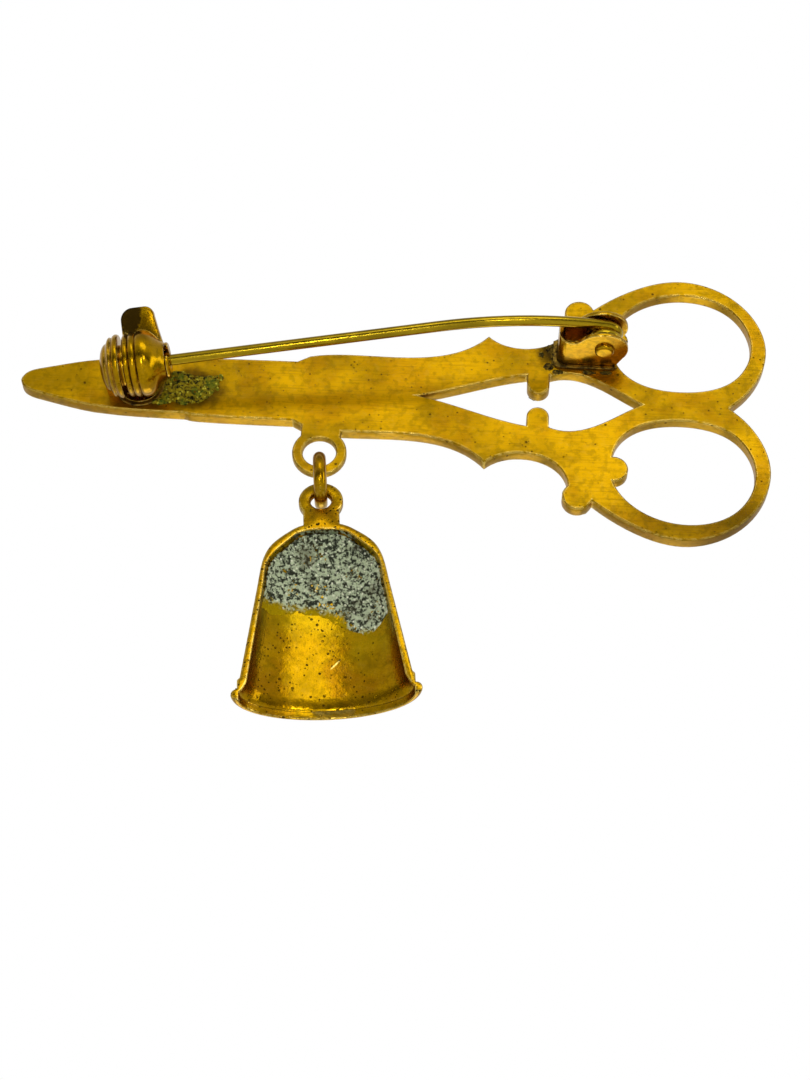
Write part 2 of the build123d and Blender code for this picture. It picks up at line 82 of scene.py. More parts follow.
def soften(piece, width, angle=35, flat=True):
    """Sharp edges rounded to a width, smooth shading, and large flat faces kept flat."""
    select_only(piece)
    bpy.ops.object.modifier_add(type="BEVEL")
    bevel = piece.modifiers[-1]
    bevel.width = width
    bevel.segments = 2
    bevel.limit_method = "ANGLE"
    bevel.angle_limit = math.radians(angle)
    bevel.use_clamp_overlap = False
    bpy.ops.object.modifier_apply(modifier=bevel.name)
    bpy.ops.object.shade_smooth_by_angle(angle=math.radians(46))
    if flat:
        bpy.ops.object.modifier_add(type="WEIGHTED_NORMAL")
        piece.modifiers[-1].keep_sharp = True
        piece.modifiers[-1].weight = 100
        piece.modifiers[-1].thresh = SAME_AREA
        bpy.ops.object.modifier_apply(modifier=piece.modifiers[-1].name)
        shading = [Vector(corner.vector) for corner in piece.data.corner_normals]
        for face in piece.data.polygons:
            if max(abs(c) for c in face.normal) > 0.9999 and face.area > FLAT_FACE:
                for corner in face.loop_indices:
                    shading[corner] = face.normal.copy()
        piece.data.normals_split_custom_set(shading)


def fit(piece, body, node, finish):
    """A finish put on a piece, which rides a body and may stand for a part."""
    piece.data.materials.clear()
    piece.data.materials.append(finish)
    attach(piece, body)
    if node:
        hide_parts(node)


class Finish:
    """A material being put together: a shader, and calls that add one node and return its output."""

    def __init__(self, name, metal, rough):
        self.material = bpy.data.materials.new(name)
        self.material.use_nodes = True
        self.tree = self.material.node_tree
        self.shader = self.tree.nodes["Principled BSDF"]
        self.shader.inputs["Metallic"].default_value = metal
        self.shader.inputs["Roughness"].default_value = rough
        self.place = self.tree.nodes.new("ShaderNodeTexCoord").outputs["Object"]

    def add(self, kind, output, settings=None, **values):
        node = self.tree.nodes.new(kind)
        for key, value in (settings or {}).items():
            setattr(node, key, value)
        for key, value in values.items():
            numbered = key[0] == "i" and key[1:].isdigit()
            socket = node.inputs[int(key[1:]) if numbered else key.replace("_", " ")]
            if isinstance(value, bpy.types.NodeSocket):
                self.tree.links.new(value, socket)
            else:
                socket.default_value = value
        return node.outputs[output]

    def mapped(self, scale=(1, 1, 1), turn=(0, 0, 0), shift=(0, 0, 0)):
        return self.add("ShaderNodeMapping", 0, Vector=self.place, Scale=scale, Rotation=turn, Location=shift)

    def along(self, axis, where=None):
        """How far a place lies along X, Y or Z, numbered 0 to 2, in mm."""
        metres = self.add("ShaderNodeSeparateXYZ", axis, Vector=where or self.place)
        return self.math("MULTIPLY", metres, MM_PER_M)

    def noise(self, size_mm, detail=4, rough=0.6, where=None):
        return self.add("ShaderNodeTexNoise", 0, Vector=where or self.place,
                        Scale=MM_PER_M / size_mm, Detail=detail, Roughness=rough)

    def wander(self, size_mm, reach, detail=5, rough=0.65):
        """A level that wanders either side of 0, in patches of one size."""
        return self.math("MULTIPLY", self.math("SUBTRACT", self.noise(size_mm, detail, rough), 0.5), reach)

    def cells(self, size_mm):
        return self.add("ShaderNodeTexVoronoi", 0, Vector=self.place, Scale=MM_PER_M / size_mm)

    def pits(self, size_mm, share, biggest=0.32):
        """1 in round pits of uneven size, in that share of the cells."""
        scale = MM_PER_M / size_mm
        away = self.add("ShaderNodeTexVoronoi", 0, Vector=self.place, Scale=scale)
        cell_colour = self.add("ShaderNodeTexVoronoi", 1, Vector=self.place, Scale=scale)
        lot = self.add("ShaderNodeSeparateColor", 0, Color=cell_colour)
        radius = self.ramp(lot, 1 - share, 1.0, 0.0, biggest)
        return self.ramp(self.math("SUBTRACT", away, radius), 0.0, -0.07)

    def ramp(self, value, low, high, bottom=0.0, top=1.0):
        return self.add("ShaderNodeMapRange", 0, {"interpolation_type": "SMOOTHSTEP"}, Value=value,
                        From_Min=low, From_Max=high, To_Min=bottom, To_Max=top)

    def math(self, operation, a, b=0.0):
        return self.add("ShaderNodeMath", 0, {"operation": operation}, i0=a, i1=b)

    def mix(self, share, a, b):
        node = self.tree.nodes.new("ShaderNodeMix")
        node.data_type = "RGBA"
        for socket, value in ((node.inputs[0], share), (node.inputs[6], a), (node.inputs[7], b)):
            if isinstance(value, bpy.types.NodeSocket):
                self.tree.links.new(value, socket)
            else:
                socket.default_value = (*value, 1) if isinstance(value, tuple) and len(value) == 3 else value
        return node.outputs[2]

    def near(self, centre_mm, reach_mm, edge_mm, ragged=0.0, size_mm=1.0, stretch=(1, 1, 1)):
        """1 near a place, fading to 0, with a ragged border."""
        moved = self.add("ShaderNodeMapping", 0, {"vector_type": "POINT"}, Vector=self.place, Scale=stretch,
                         Location=tuple(-c * MM * s for c, s in zip(centre_mm, stretch)))
        away = self.add("ShaderNodeVectorMath", 1, {"operation": "LENGTH"}, i0=moved)
        away = self.math("MULTIPLY", away, MM_PER_M)
        if ragged:
            away = self.math("ADD", away, self.wander(size_mm, ragged))
        return self.ramp(away, reach_mm + edge_mm, reach_mm - edge_mm)

    def salt_line(self, low, high):
        """From 0 below one height to 1 above another, both lower at the right of the thimble."""
        level = self.math("ADD", self.along(2), self.ramp(self.along(0), 3.6, 6.0, 0.0, 2.3))
        level = self.math("ADD", level, self.wander(1.4, 2.4))
        level = self.math("ADD", level, self.wander(0.3, 1.3, 2, 0.6))
        return self.ramp(level, low, high)

    def dimples(self, axis_x, axis_y, lean, pitch, radius, low, high):
        """1 in round dimples set in staggered rows on a half-round wall, between two heights."""
        sits = self.mapped(turn=(0, lean, 0))
        x = self.math("SUBTRACT", self.along(0, sits), axis_x)
        y = self.math("SUBTRACT", self.along(1, sits), axis_y)
        z = self.along(2, sits)
        row = self.math("DIVIDE", z, pitch * DIMPLE_ROWS)
        turn = self.math("MULTIPLY", self.math("ARCTAN2", x, y), radius / pitch)
        turn = self.math("ADD", turn, self.math("MULTIPLY", self.math("FLOOR", row), 0.5))
        round_by = self.math("SUBTRACT", self.math("FRACT", turn), 0.5)
        up_by = self.math("SUBTRACT", self.math("FRACT", row), 0.5)
        away = self.math("ADD", self.math("MULTIPLY", round_by, round_by),
                         self.math("MULTIPLY", up_by, up_by))
        away = self.math("SQRT", away)
        above = self.ramp(z, low - 0.1, low + 0.1)
        below = self.ramp(z, high + 0.1, high - 0.1)
        return self.math("MULTIPLY", self.ramp(away, 0.40, 0.12), self.math("MULTIPLY", above, below))

    def mark(self, centre_mm, turn, size_mm):
        """1 along one short scratch, given by its middle, its slope and its half sizes."""
        inside = self.add("ShaderNodeMapping", 0, {"vector_type": "TEXTURE"}, Vector=self.place,
                          Rotation=(0, turn, 0), Location=tuple(c * MM for c in centre_mm),
                          Scale=tuple(c * MM for c in size_mm))
        away = self.add("ShaderNodeVectorMath", 1, {"operation": "LENGTH"}, i0=inside)
        return self.ramp(away, 1.0, 0.6)

    def bump(self, height, depth_mm, previous=None):
        over = {"Normal": previous} if previous is not None else {}
        return self.add("ShaderNodeBump", 0, Height=height, Distance=depth_mm * MM, Strength=1.0, **over)

    def done(self, colour=None, rough=None, normal=None, metal=None):
        wanted = (("Base Color", colour), ("Roughness", rough), ("Normal", normal), ("Metallic", metal))
        for name, socket in wanted:
            if socket is not None:
                self.tree.links.new(socket, self.shader.inputs[name])
        return self.material


def gilt(name, rough=0.26, grain=(1, 1, 1), grain_depth=0.004, olive=0.35, brown=0.45, pale=0.04,
         pits=0.25, pit_share=0.3, painted_crevice_shade=0.0, shade_reach_mm=0.45, mottle=0.010, mottle_mm=0.5, sheen_edge_mm=0.18,
         stains_and_shade=(), halo=0.0, dimples=None, marks=()):
    """Yellow plating: olive, brown and pale gold drifts, scratches and pits; edges get a painted highlight,
    corners painted shade.
    """
    f = Finish(name, 1.0, rough)
    drift = f.noise(5.5, 5, 0.6)
    fine = f.noise(0.7, 4, 0.7)
    colour = f.mix(f.math("MULTIPLY", f.ramp(drift, 0.42, 0.72), olive), GOLD, GOLD_OLIVE)
    browned = f.noise(3.4, 5, 0.6, f.mapped(shift=(0.011, 0.004, 0.007)))
    colour = f.mix(f.math("MULTIPLY", f.ramp(browned, 0.46, 0.64), brown), colour, GOLD_BROWN)
    colour = f.mix(f.math("MULTIPLY", f.ramp(fine, 0.5, 0.75), pale), colour, GOLD_PALE_AND_SHEEN)
    scratches = f.noise(0.12, 3, 0.6, f.mapped(grain))
    colour = f.mix(f.math("MULTIPLY", f.ramp(scratches, 0.5, 0.72), 0.35), colour, GOLD_OLIVE)
    mottled = f.noise(mottle_mm, 3, 0.6)
    colour = f.mix(f.math("MULTIPLY", f.ramp(mottled, 0.52, 0.36), 0.4), colour, GOLD_OLIVE)
    speck = f.math("MAXIMUM", f.pits(0.5, pit_share, 0.26), f.pits(0.26, pit_share, 0.34))
    speck = f.math("MULTIPLY", f.math("MULTIPLY", speck, f.ramp(f.noise(2.6, 3), 0.36, 0.52)), pits)
    # painted highlight: edges found by the rounded bevel normal are mixed toward pale gold
    rounded = f.add("ShaderNodeBevel", 0, {"samples": 6}, Radius=sheen_edge_mm * MM)
    turned = f.add("ShaderNodeVectorMath", 1, {"operation": "DOT_PRODUCT"}, i0=rounded,
                   i1=f.add("ShaderNodeNewGeometry", 3))
    edge_sheen_and_scratches = f.math("MULTIPLY", f.ramp(turned, 0.99, 0.93), f.ramp(f.noise(0.5, 4, 0.7), 0.36, 0.54))
    dirt_and_shade = speck
    for centre, reach, fade, ragged, size, amount, stretch in stains_and_shade:
        patch = f.math("MULTIPLY", f.near(centre, reach, fade, ragged, size, stretch), amount)
        dirt_and_shade = f.math("MAXIMUM", dirt_and_shade, patch)
    # painted shade: ambient occlusion darkens corners, creases and grooves toward the tarnish colour
    if painted_crevice_shade:
        occlusion = f.add("ShaderNodeAmbientOcclusion", 1, {"samples": 8, "only_local": True},
                       Distance=shade_reach_mm * MM)
        corner = f.math("MULTIPLY", f.ramp(occlusion, 0.78, 0.3), painted_crevice_shade)
        dirt_and_shade = f.math("MAXIMUM", dirt_and_shade, f.math("MULTIPLY", corner, f.ramp(f.noise(0.9, 4), 0.25, 0.6)))
    for centre, turn, size in marks:
        edge_sheen_and_scratches = f.math("MAXIMUM", edge_sheen_and_scratches, f.mark(centre, turn, size))
    # pale gold goes on the edges as a painted highlight, and on the scratches as bare metal
    colour = f.mix(edge_sheen_and_scratches, colour, GOLD_PALE_AND_SHEEN)
    if halo:
        ceiling = f.ramp(f.along(2), -16.3, -15.7)
        salted = f.math("MULTIPLY", ceiling, f.ramp(f.noise(0.38, 4, 0.7), 0.45, 0.545))
        colour = f.mix(f.math("MULTIPLY", f.salt_line(-25.0, -22.4), halo), colour, SALT_HALO)
    # pits and stains take the tarnish colour, and so does the painted shade in corners
    colour = f.mix(dirt_and_shade, colour, TARNISH_AND_SHADE)
    if halo:
        colour = f.mix(salted, colour, SALT_GRAINS)
    dull = f.math("ADD", f.math("MULTIPLY", f.ramp(drift, 0.3, 0.75), 0.14), rough - 0.07)
    dull = f.math("ADD", dull, f.math("MULTIPLY", scratches, 0.1))
    dull = f.math("ADD", dull, f.math("MULTIPLY", dirt_and_shade, 0.35))
    dull = f.math("SUBTRACT", dull, f.math("MULTIPLY", edge_sheen_and_scratches, 0.08))
    normal = f.bump(scratches, grain_depth)
    normal = f.bump(mottled, mottle, normal)
    normal = f.bump(speck, -PIT_DEPTH, normal)
    if dimples:
        normal = f.bump(f.dimples(*dimples), -DIMPLE_DEPTH, normal)
    f.shader.inputs["Specular IOR Level"].default_value = 0.5
    f.shader.inputs["Coat Weight"].default_value = 0.02
    f.shader.inputs["Coat Roughness"].default_value = 0.12
    return f.done(colour, dull, normal)


plate = copy_of("scissors_plate", "plate_cast")
soften(plate, PLATE_EDGE, angle=40)
# The plate's corners get painted shade, its edges a painted highlight, and one patch paints shade on its
# lower bow.
plate_finish = gilt(
    "gilt_plate", rough=0.31, sheen_edge_mm=0.26, grain=(0.035, 1, 1), grain_depth=0.009, olive=0.5, pits=0.6,
    pit_share=0.15, painted_crevice_shade=0.6, mottle=0.012, mottle_mm=0.55,
    stains_and_shade=(
        ((-9.4, PLATE_BACK, -2.1), 2.3, 0.8, 1.8, 1.0, 0.7, (0.9, 3, 1.2)),
        ((20.4, PLATE_BACK, 3.3), 0.9, 0.7, 1.4, 0.8, 0.85, (1, 3, 0.8)),
        ((26.8, PLATE_BACK, 2.3), 0.5, 0.4, 0.8, 0.5, 0.8, (0.7, 3, 1)),
        # painted shade: this broad patch darkens the lower bow, where less light falls
        ((33.0, PLATE_BACK, -12.0), 5.0, 3.0, 4.0, 1.2, 0.42, (0.8, 3, 1.3)),
        ((-4.8, PLATE_BACK, -1.6), 0.2, 1.4, 1.6, 0.9, 0.3, (0.5, 3, 1)),
    ),
)
fit(plate, "brooch", "scissors_plate", plate_finish)


# ---- the pin joint: sheet metal folded into a stirrup, riveted and soldered on ----
# Stamped from bright gilt sheet with rounded ears; a drawn-wire rivet is hammered over outside
# both ears, and the solder that holds the foot has crept out round it and gone brown.
SHEET_EDGE = 0.05 * MM

joint = copy_of("joint_box", "pin_joint")
soften(joint, SHEET_EDGE)
fit(joint, "brooch", "joint_box", gilt(
    "gilt_sheet", rough=0.2, grain=(0.3, 1, 1), grain_depth=0.002, olive=0.4, pits=0.1, painted_crevice_shade=0.8,
    stains_and_shade=(
        ((24.72, 1.88, 1.62), 0.74, 0.16, 0.5, 0.6, 0.8, (1, 1, 1)),
        ((21.0, 3.9, 2.0), 0.7, 0.5, 0.9, 0.7, 0.8, (0.5, 1, 1)),
    ),
))

rivet = copy_of("joint_rivet", "joint_rivet_hammered")
soften(rivet, 0.03 * MM, flat=False)
fit(rivet, "brooch", "joint_rivet", gilt(
    "gilt_rivet", rough=0.16, grain_depth=0.003, olive=0.2, pits=0.3, painted_crevice_shade=0.6))


SOLDER_VOXEL = 0.055 * MM
SOLDER_LUMP = 0.5 * MM
SOLDER_RISE = 0.12 * MM
SOLDER_DARK = (0.05, 0.032, 0.012)
SOLDER_BROWN = (0.34, 0.21, 0.03)


def lumpy(node, name):
    """Solder that has flowed: the skin is remeshed, pushed about and smoothed."""
    piece = copy_of(node, name)
    bpy.ops.object.modifier_add(type="REMESH")
    piece.modifiers[-1].mode = "VOXEL"
    piece.modifiers[-1].voxel_size = SOLDER_VOXEL
    bpy.ops.object.modifier_apply(modifier=piece.modifiers[-1].name)
    clouds = bpy.data.textures.new(name + "_lumps", "CLOUDS")
    clouds.noise_scale = SOLDER_LUMP
    bpy.ops.object.modifier_add(type="DISPLACE")
    piece.modifiers[-1].texture = clouds
    piece.modifiers[-1].strength = SOLDER_RISE
    piece.modifiers[-1].mid_level = 0.5
    bpy.ops.object.modifier_apply(modifier=piece.modifiers[-1].name)
    bpy.ops.object.modifier_add(type="SMOOTH")
    piece.modifiers[-1].iterations = 3
    bpy.ops.object.modifier_apply(modifier=piece.modifiers[-1].name)
    bpy.ops.object.shade_smooth()
    return piece


def solder_finish(name):
    f = Finish(name, 1.0, 0.45)
    blotch = f.noise(0.5, 5, 0.65)
    colour = f.mix(f.ramp(blotch, 0.35, 0.62), SOLDER_DARK, SOLDER_BROWN)
    rough = f.ramp(blotch, 0.3, 0.7, 0.6, 0.35)
    return f.done(colour, rough, f.bump(f.noise(0.25, 4, 0.7), 0.03))


joint_bead = lumpy("joint_solder", "joint_solder_bead")
fit(joint_bead, "brooch", "joint_solder", solder_finish("solder_brown"))


# ---- the pin: one length of spring wire ----
# Hard-drawn brass wire, wound round the rivet inside the joint, arched over the plate
# and ground to a long point that lies inside the catch.
WIRE_GOLD = (0.50, 0.33, 0.012)
WIRE_OLIVE = (0.20, 0.135, 0.006)
WIRE_DARK = (0.10, 0.065, 0.006)

pin = copy_of("pin_stem", "pin_wire")
bpy.ops.object.shade_smooth_by_angle(angle=math.radians(40))
wire = Finish("drawn_wire", 1.0, 0.2)
lines = wire.noise(0.1, 3, 0.6, wire.mapped((0.02, 1, 1)))
patches = wire.noise(4.0, 4, 0.6)
dulled = wire.math("MULTIPLY", wire.ramp(patches, 0.4, 0.68), 0.55)
drawn = wire.math("MULTIPLY", wire.ramp(lines, 0.55, 0.7), 0.35)
wire_colour = wire.mix(drawn, wire.mix(dulled, WIRE_GOLD, WIRE_OLIVE), WIRE_DARK)
wire_rough = wire.math("ADD", wire.math("MULTIPLY", lines, 0.16), 0.1)
fit(pin, "pin", "pin_stem", wire.done(wire_colour, wire_rough, wire.bump(lines, 0.006)))

# ---- the safety catch: a ball in two turned halves ----
# The left half is soldered on by its post and foot; the right half turns on a slotted tube
# by its thumb tab and shuts the pin in. Both are lathe-turned, and painted shade darkens their grooves.
TURNED = dict(rough=0.15, grain_depth=0.002, olive=0.5, pits=0.3, painted_crevice_shade=0.97, shade_reach_mm=0.75, sheen_edge_mm=0.12)
TAB_STAIN = ((-14.45, -1.1, 1.3), 1.15, 0.2, 1.1, 0.25, 0.95, (1.25, 0.8, 0.62))

turned_finish = gilt("gilt_turned", **TURNED)
tab_finish = gilt("gilt_turning_half", stains_and_shade=(TAB_STAIN,), **TURNED)

for node, name, slot, finish, edge in (
    ("catch_shell", "catch_fixed_half", "ball_gilt", turned_finish, 0.045 * MM),
    ("catch_foot", "catch_foot_and_post", "sheet_gilt", turned_finish, 0.03 * MM),
    ("catch_hub", "catch_tube", "hub_brass", turned_finish, 0.03 * MM),
):
    part = copy_of(node, name)
    soften(part, edge, flat=node == "catch_foot")
    fit(part, "brooch", node, finish)

turning = copy_of("catch_rotor", "catch_turning_half")
soften(turning, 0.045 * MM, flat=False)
fit(turning, "catch_lock", "catch_rotor", tab_finish)

catch_bead = lumpy("catch_solder", "catch_solder_bead")
fit(catch_bead, "brooch", "catch_solder", bpy.data.materials["solder_brown"])


# ---- crusts on the back of the plate ----
# Flux left under the catch's foot has fed a green copper crust that stands on the plate in
# small lumps; a thinner brown one lies round the foot of the joint, where solder overflowed.
CATCH_LUMPS = (
    (-11.6, -2.4, 1.5, 1.1), (-10.1, -2.2, 1.4, 1.5), (-8.7, -1.9, 1.2, 1.2), (-7.9, -1.5, 0.8, 0.8),
    (-11.9, -3.2, 1.0, 0.6), (-9.4, -3.0, 1.0, 0.6), (-7.4, -0.9, 0.5, 0.4), (-10.6, -0.9, 1.2, 0.6))
JOINT_LUMPS = (
    (20.7, 2.6, 0.35, 0.9), (20.35, 3.5, 0.4, 0.5), (20.2, 1.7, 0.45, 0.4), (21.0, 1.2, 0.5, 0.25),
    (23.6, 1.25, 0.6, 0.2), (25.0, 1.3, 0.5, 0.2), (19.6, 2.9, 0.25, 0.3))


def crust_on_plate(name, lumps, high, finish):
    """Overlapping flat lumps of crust on the plate's back, roughened at two sizes of grain."""
    crust = None
    for x, z, wide, tall in lumps:
        bpy.ops.object.select_all(action="DESELECT")
        bpy.ops.mesh.primitive_ico_sphere_add(subdivisions=5, radius=1,
                                              location=(x * MM, PLATE_BACK * MM, z * MM),
                                              scale=(wide * MM, high * MM, tall * MM))
        bpy.ops.object.transform_apply(location=True, rotation=True, scale=True)
        lump = bpy.context.object
        for grain, size, rise in (("coarse", 0.55, 2.5), ("fine", 0.16, 1.3)):
            kind = "crust_" + grain
            grains = bpy.data.textures.get(kind) or bpy.data.textures.new(kind, "CLOUDS")
            grains.noise_scale = size * MM
            grains.noise_depth = 3
            bpy.ops.object.modifier_add(type="DISPLACE")
            lump.modifiers[-1].texture = grains
            lump.modifiers[-1].texture_coords = "LOCAL"
            lump.modifiers[-1].strength = rise * high * MM
            lump.modifiers[-1].mid_level = 0.55
            bpy.ops.object.modifier_apply(modifier=lump.modifiers[-1].name)
        if crust is None:
            crust = lump
        else:
            select_only(crust)
            lump.select_set(True)
            bpy.ops.object.join()
    crust.name = name
    bpy.ops.object.shade_smooth()
    fit(crust, "brooch", None, finish)


def crust_finish(name, dark, light, shade, speck):
    """A matt crust of grains in four colours."""
    f = Finish(name, 0.0, 0.7)
    grain = f.noise(0.32, 5, 0.7)
    colour = f.mix(f.ramp(grain, 0.40, 0.58), dark, light)
    colour = f.mix(f.math("MULTIPLY", f.ramp(f.noise(1.1, 3), 0.5, 0.62), 0.6), colour, shade)
    colour = f.mix(f.ramp(f.cells(0.42), 0.3, 0.12), colour, speck)
    f.shader.inputs["Specular IOR Level"].default_value = 0.12
    return f.done(colour, f.ramp(grain, 0.3, 0.7, 0.85, 0.4), f.bump(grain, 0.08))


crust_on_plate("verdigris_on_plate", CATCH_LUMPS, 0.2, crust_finish(
    "verdigris", (0.012, 0.012, 0.001), (0.36, 0.27, 0.003), (0.12, 0.17, 0.008), (0.70, 0.62, 0.05)))
crust_on_plate("flux_round_joint", JOINT_LUMPS, 0.11, crust_finish(
    "flux_brown", (0.010, 0.006, 0.001), (0.20, 0.12, 0.006), (0.05, 0.04, 0.004), (0.42, 0.28, 0.02)))


# ---- the jump ring ----
# A ring of round polished wire, sprung open at its saw cut to go through the plate's loop
# and the thimble's eye, then closed again with pliers.
ring = copy_of("jump_ring", "jump_ring_wire")
soften(ring, 0.02 * MM, flat=False)
fit(ring, "ring", "jump_ring", gilt(
    "gilt_ring", rough=0.14, grain_depth=0.002, olive=0.3, pits=0.25, painted_crevice_shade=0.3, pale=0.35))


# ---- the thimble charm ----
# Cast as a half-round shell with a flat eye on its crown and a rolled bead round the mouth;
# the open back is fire-skinned and pitted, the front is polished and dimpled like a thimble.
EYE_PLACE = Vector((2.0086, 4.630, -12.2565))
LEAN = math.radians(5.6)

thimble = copy_of("thimble_shell", "thimble_cast")
soften(thimble, 0.08 * MM, flat=False)
fit(thimble, "thimble", "thimble_shell", gilt(
    "gilt_thimble_rim", rough=0.2, grain=(1, 1, 0.3), grain_depth=0.003, olive=0.6, pits=0.9,
    pit_share=0.8, painted_crevice_shade=0.8, mottle=0.03, mottle_mm=0.6, sheen_edge_mm=0.22))
thimble.data.materials.append(gilt(
    "gilt_thimble_hollow", rough=0.22, grain=(1, 1, 0.3), grain_depth=0.003, olive=0.7, brown=0.75,
    pits=0.75, pit_share=0.55, painted_crevice_shade=0.9, mottle=0.05, mottle_mm=0.7, halo=0.35,
    marks=(((4.16, 6.2, -26.77), -0.897, (0.75, 2.0, 0.09)),),
    stains_and_shade=(
        ((2.4, 6.0, -15.0), 2.6, 0.6, 1.8, 0.35, 0.9, (0.6, 0.6, 1.2)),
        ((-2.4, 6.2, -22.4), 1.5, 1.2, 2.0, 0.9, 0.35, (1.2, 1, 0.5)),
        ((8.6, 6.2, -26.5), 1.5, 1.2, 2.0, 0.9, 0.4, (1.2, 1, 0.5)),
    )))
thimble.data.materials.append(gilt(
    "gilt_thimble_front", rough=0.17, grain=(1, 1, 0.3), olive=0.3, pits=0.2, painted_crevice_shade=0.3,
    dimples=(0.8, 1.0, LEAN, 1.0, 6.0, -22.6, -14.2)))
for face in thimble.data.polygons:
    place = face.center / MM - EYE_PLACE
    reach = Vector((place.x + math.sin(LEAN) * place.z, place.y, place.z + 8.0))
    if place.z > -2.4 or face.center.y / MM < 4.85 + 0.11 * place.z and face.normal.y < -0.5:
        continue
    hollow = face.normal.dot(reach.normalized()) < -0.1
    face.material_index = 1 if hollow else 2 if face.normal.y > -0.3 else 0


# ---- the crust inside the thimble ----
# A pale grey-green salt crust of tiny grains has grown over the upper half of the hollow,
# thinning out to yellow-green at its lower, lobed edge. It sits on the metal's inner skin.
CRUST_SIZE = 12.6
SALT_DARK = (0.018, 0.024, 0.007)
SALT_PALE = (0.62, 0.70, 0.45)
SALT_BRIGHT = (0.95, 0.98, 0.72)
SALT_BROWN = (0.07, 0.055, 0.012)

across = Vector((math.cos(LEAN), 0, math.sin(LEAN)))
upward = Vector((-math.sin(LEAN), 0, math.cos(LEAN)))
middle = EYE_PLACE - 8.6 * upward
bpy.ops.object.select_all(action="DESELECT")
bpy.ops.mesh.primitive_grid_add(x_subdivisions=240, y_subdivisions=240, size=CRUST_SIZE * MM,
                                location=(middle.x * MM, -2 * MM, middle.z * MM),
                                rotation=(math.radians(90), -LEAN, 0))
bpy.ops.object.transform_apply(location=True, rotation=True, scale=True)
crust = bpy.context.object
crust.name = "crust_in_thimble"
bpy.ops.object.modifier_add(type="SHRINKWRAP")
wrap = crust.modifiers[-1]
wrap.target = thimble
wrap.wrap_method = "PROJECT"
wrap.use_project_y = True
wrap.use_positive_direction = True
wrap.use_negative_direction = False
bpy.ops.object.modifier_apply(modifier=wrap.name)


def crust_depth(point):
    """How far inside the crust's lobed outline a point lies, in mm; below 0 is outside."""
    x = (point / MM - EYE_PLACE).dot(across)
    z = (point / MM - EYE_PLACE).dot(upward)
    wander = 0.75 * noise.noise(Vector((x * 0.55, z * 0.55, 3.1)))
    wander += 0.3 * noise.noise(Vector((x * 1.7, z * 1.7, 8.2)))
    bottom = -10.0 - 2.5 * math.exp(-((x - 3.0) / 1.9) ** 2) - 0.4 * math.exp(-((x + 3.4) / 1.2) ** 2)
    return z - bottom + wander


def inside_hollow(point):
    """Whether a point is in the hollow, in front of the charm's back plane, which leans too."""
    z = (point / MM - EYE_PLACE).dot(upward)
    return z < -2.95 and point.y / MM > 4.75 + 0.11 * z


spare = [i for i, v in enumerate(crust.data.vertices) if not inside_hollow(v.co) or crust_depth(v.co) < 0]
crust.data.vertices.foreach_set("select", [False] * len(crust.data.vertices))
crust.data.polygons.foreach_set("select", [False] * len(crust.data.polygons))
crust.data.edges.foreach_set("select", [False] * len(crust.data.edges))
for i in spare:
    crust.data.vertices[i].select = True
select_only(crust)
bpy.ops.object.mode_set(mode="EDIT")
bpy.ops.mesh.select_mode(type="VERT")
bpy.ops.mesh.delete(type="VERT")
bpy.ops.mesh.select_all(action="SELECT")
bpy.ops.mesh.normals_make_consistent(inside=False)
bpy.ops.object.mode_set(mode="OBJECT")
if sum(p.normal.y for p in crust.data.polygons) > 0:
    select_only(crust)
    bpy.ops.object.mode_set(mode="EDIT")
    bpy.ops.mesh.select_all(action="SELECT")
    bpy.ops.mesh.flip_normals()
    bpy.ops.object.mode_set(mode="OBJECT")
thickness = crust.vertex_groups.new(name="thickness")
for v in crust.data.vertices:
    thickness.add([v.index], min(1.0, max(0.0, crust_depth(v.co) / 2.2)), "REPLACE")
for name, size, rise, mid in (("broad", 1.3, 0.35, 0.25), ("grainy", 0.2, 0.42, 0.42)):
    grains = bpy.data.textures.new("salt_" + name, "CLOUDS")
    grains.noise_scale = size * MM
    grains.noise_depth = 2
    bpy.ops.object.modifier_add(type="DISPLACE")
    move = crust.modifiers[-1]
    move.texture = grains
    move.texture_coords = "LOCAL"
    move.strength = rise * MM
    move.mid_level = mid
    move.vertex_group = "thickness"
    bpy.ops.object.modifier_apply(modifier=move.name)
bpy.ops.object.modifier_add(type="SOLIDIFY")
crust.modifiers[-1].thickness = 0.12 * MM
crust.modifiers[-1].offset = -1
bpy.ops.object.modifier_apply(modifier=crust.modifiers[-1].name)
crust.vertex_groups.clear()
bpy.ops.object.shade_smooth()

salt = Finish("salt_crust", 0.0, 0.6)
salt_fine = salt.noise(0.38, 4, 0.7)
salt_cell = salt.cells(0.42)
salt_broad = salt.noise(2.6, 4, 0.6)
salt_colour = salt.mix(salt.ramp(salt_fine, 0.45, 0.545), SALT_DARK, SALT_PALE)
salt_colour = salt.mix(salt.ramp(salt_cell, 0.30, 0.16), salt_colour, SALT_BRIGHT)
salt_colour = salt.mix(salt.math("MULTIPLY", salt.ramp(salt_broad, 0.52, 0.7), 0.6), salt_colour, SALT_BROWN)
salt_thin = salt.math("SUBTRACT", 1.0, salt.salt_line(-22.4, -21.6))
salt_colour = salt.mix(salt_thin, salt_colour, SALT_HALO)
fit(crust, "thimble", None, salt.done(
    salt_colour, salt.ramp(salt_cell, 0.1, 0.3, 0.25, 0.75), salt.bump(salt_fine, 0.14), salt_thin))


